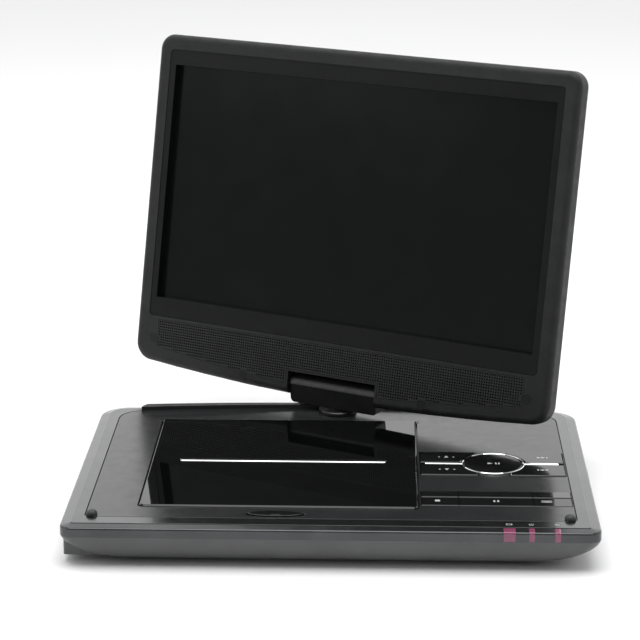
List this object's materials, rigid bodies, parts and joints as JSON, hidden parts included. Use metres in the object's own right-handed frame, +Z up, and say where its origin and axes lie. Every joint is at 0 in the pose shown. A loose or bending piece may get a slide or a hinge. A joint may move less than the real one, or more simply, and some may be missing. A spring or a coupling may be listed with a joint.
{
  "type": "portable dvd player",
  "caption": "Portable disc player with a wide screen on a swivel and tilt hinge, a top-loading disc lid, playback keys and a clip-in battery pack.",
  "frame": {"origin": "middle of the base's plan, on the surface the rubber feet stand on", "axes": "+X to the player's right, +Y to its back, +Z up; the user faces its front, which looks along -Y"},
  "size_m": [0.25, 0.2671, 0.2086],
  "materials": {
    "case_lower": "satin dark grey, fine sparkle",
    "case_gloss": "glossy piano black",
    "panel_satin": "satin gunmetal paint",
    "key_gloss": "glossy black",
    "lid_gloss": "mirror-gloss black",
    "chrome_trim": "polished",
    "screen_matte": "fine spark-eroded grain",
    "bezel_matte": "smooth satin",
    "hinge_matte": "satin",
    "lcd": "anti-glare film over a dark panel",
    "window_red": "translucent dark red",
    "rubber_dark": "matte",
    "board_green": "solder resist",
    "part_black": "moulded",
    "part_white": "moulded",
    "steel": "plain",
    "cell_foil": "foil pouch",
    "lens_clear": "coated"
  },
  "bodies": {
    "base": {"lower_case": "case_lower", "battery_pack": "case_lower", "battery_cells": "cell_foil", "rubber_feet": "rubber_dark", "case_screws": "steel", "upper_case": "case_gloss", "top_panel": "panel_satin", "rear_rail": "hinge_matte", "screen_bumpers": "rubber_dark", "disc_tray": "part_black", "deck_chassis": "steel", "deck_dampers": "rubber_dark", "inner_screws": "steel", "deck_motors": "steel", "guide_rods": "steel", "main_board": "board_green", "board_parts": "part_black", "key_board": "board_green", "side_sockets": "part_black", "indicator_windows": "window_red", "status_lights": "part_white", "lid_catch": "steel", "key_trim": "chrome_trim", "swivel_bracket": "steel"},
    "spindle": {"disc_hub": "part_black"},
    "sled": {"laser_sled": "part_black", "objective_lens": "lens_clear"},
    "screw": {"lead_screw": "steel"},
    "lid": {"disc_lid": "lid_gloss", "lid_strip": "chrome_trim"},
    "latch": {"battery_latch": "part_black"},
    "switch": {"power_switch": "part_black"},
    "opener": {"open_button": "key_gloss"},
    "play": {"play_key": "key_gloss"},
    "volume_down": {"volume_down_key": "key_gloss"},
    "volume_up": {"volume_up_key": "key_gloss"},
    "skip_back": {"skip_back_key": "key_gloss"},
    "skip_forward": {"skip_forward_key": "key_gloss"},
    "stop": {"stop_key": "key_gloss"},
    "pause": {"pause_key": "key_gloss"},
    "menu": {"menu_key": "key_gloss"},
    "swivel": {"hinge_cover_front": "hinge_matte", "hinge_cover_rear": "hinge_matte", "swivel_collar": "hinge_matte", "swivel_shaft": "steel", "swivel_washers": "steel", "tilt_axle": "steel"},
    "screen": {"screen_front": "screen_matte", "screen_rear": "screen_matte", "screen_bezel": "bezel_matte", "lcd_panel": "lcd", "backlight": "part_white", "speaker_grille": "hinge_matte", "speakers": "part_black", "screen_board": "board_green", "screw_caps": "rubber_dark", "screen_screws": "steel", "hinge_arms": "steel"}
  },
  "joints": [
    {"name": "screen_swivel", "type": "hinge", "parent": "base", "child": "swivel", "pos_m": [0, 0.0837, 0.024], "axis": [0, 0, 1], "range_deg": [-151.5, 28.5]},
    {"name": "screen_tilt", "type": "hinge", "parent": "swivel", "child": "screen", "pos_m": [0, 0.0837, 0.0321], "axis": [-0.8788, 0.4772, 0], "range_deg": [-100.3, 79.7]},
    {"name": "lid_hinge", "type": "hinge", "parent": "base", "child": "lid", "pos_m": [-0.02485, 0.0661, 0.0194], "axis": [-1, 0, 0], "range_deg": [0, 30]},
    {"name": "disc_spindle", "type": "hinge", "parent": "base", "child": "spindle", "pos_m": [-0.02485, 0.00195, 0.014], "axis": [0, 0, 1], "continuous": true},
    {"name": "lead_screw_spin", "type": "hinge", "parent": "base", "child": "screw", "pos_m": [0.00315, 0.04, 0.0094], "axis": [0, 1, 0], "range_deg": [-1760, 2480]},
    {"name": "sled_slide", "type": "slide", "parent": "base", "child": "sled", "axis": [0, 1, 0], "range_m": [-0.01455, 0.02055]},
    {"name": "battery_latch_slide", "type": "slide", "parent": "base", "child": "latch", "axis": [0, 1, 0], "range_m": [0, 0.0025], "stiffness_N_per_m": 400, "springref_m": -0.001},
    {"name": "power_slide", "type": "slide", "parent": "base", "child": "switch", "axis": [0, 1, 0], "range_m": [0, 0.004]},
    {"name": "open_press", "type": "slide", "parent": "base", "child": "opener", "axis": [0, 0, -1], "range_m": [0, 0.0008], "stiffness_N_per_m": 500, "springref_m": -0.0008},
    {"name": "play_press", "type": "slide", "parent": "base", "child": "play", "axis": [0, 0, -1], "range_m": [0, 0.0008], "stiffness_N_per_m": 500, "springref_m": -0.0008},
    {"name": "volume_down_press", "type": "slide", "parent": "base", "child": "volume_down", "axis": [0, 0, -1], "range_m": [0, 0.0008], "stiffness_N_per_m": 500, "springref_m": -0.0008},
    {"name": "volume_up_press", "type": "slide", "parent": "base", "child": "volume_up", "axis": [0, 0, -1], "range_m": [0, 0.0008], "stiffness_N_per_m": 500, "springref_m": -0.0008},
    {"name": "skip_back_press", "type": "slide", "parent": "base", "child": "skip_back", "axis": [0, 0, -1], "range_m": [0, 0.0008], "stiffness_N_per_m": 500, "springref_m": -0.0008},
    {"name": "skip_forward_press", "type": "slide", "parent": "base", "child": "skip_forward", "axis": [0, 0, -1], "range_m": [0, 0.0008], "stiffness_N_per_m": 500, "springref_m": -0.0008},
    {"name": "stop_press", "type": "slide", "parent": "base", "child": "stop", "axis": [0, 0, -1], "range_m": [0, 0.0008], "stiffness_N_per_m": 500, "springref_m": -0.0008},
    {"name": "pause_press", "type": "slide", "parent": "base", "child": "pause", "axis": [0, 0, -1], "range_m": [0, 0.0008], "stiffness_N_per_m": 500, "springref_m": -0.0008},
    {"name": "menu_press", "type": "slide", "parent": "base", "child": "menu", "axis": [0, 0, -1], "range_m": [0, 0.0008], "stiffness_N_per_m": 500, "springref_m": -0.0008}
  ],
  "couplings": [
    {"joint": "lead_screw_spin", "follows": "sled_slide", "rad_per_m": 2094.4}
  ]
}
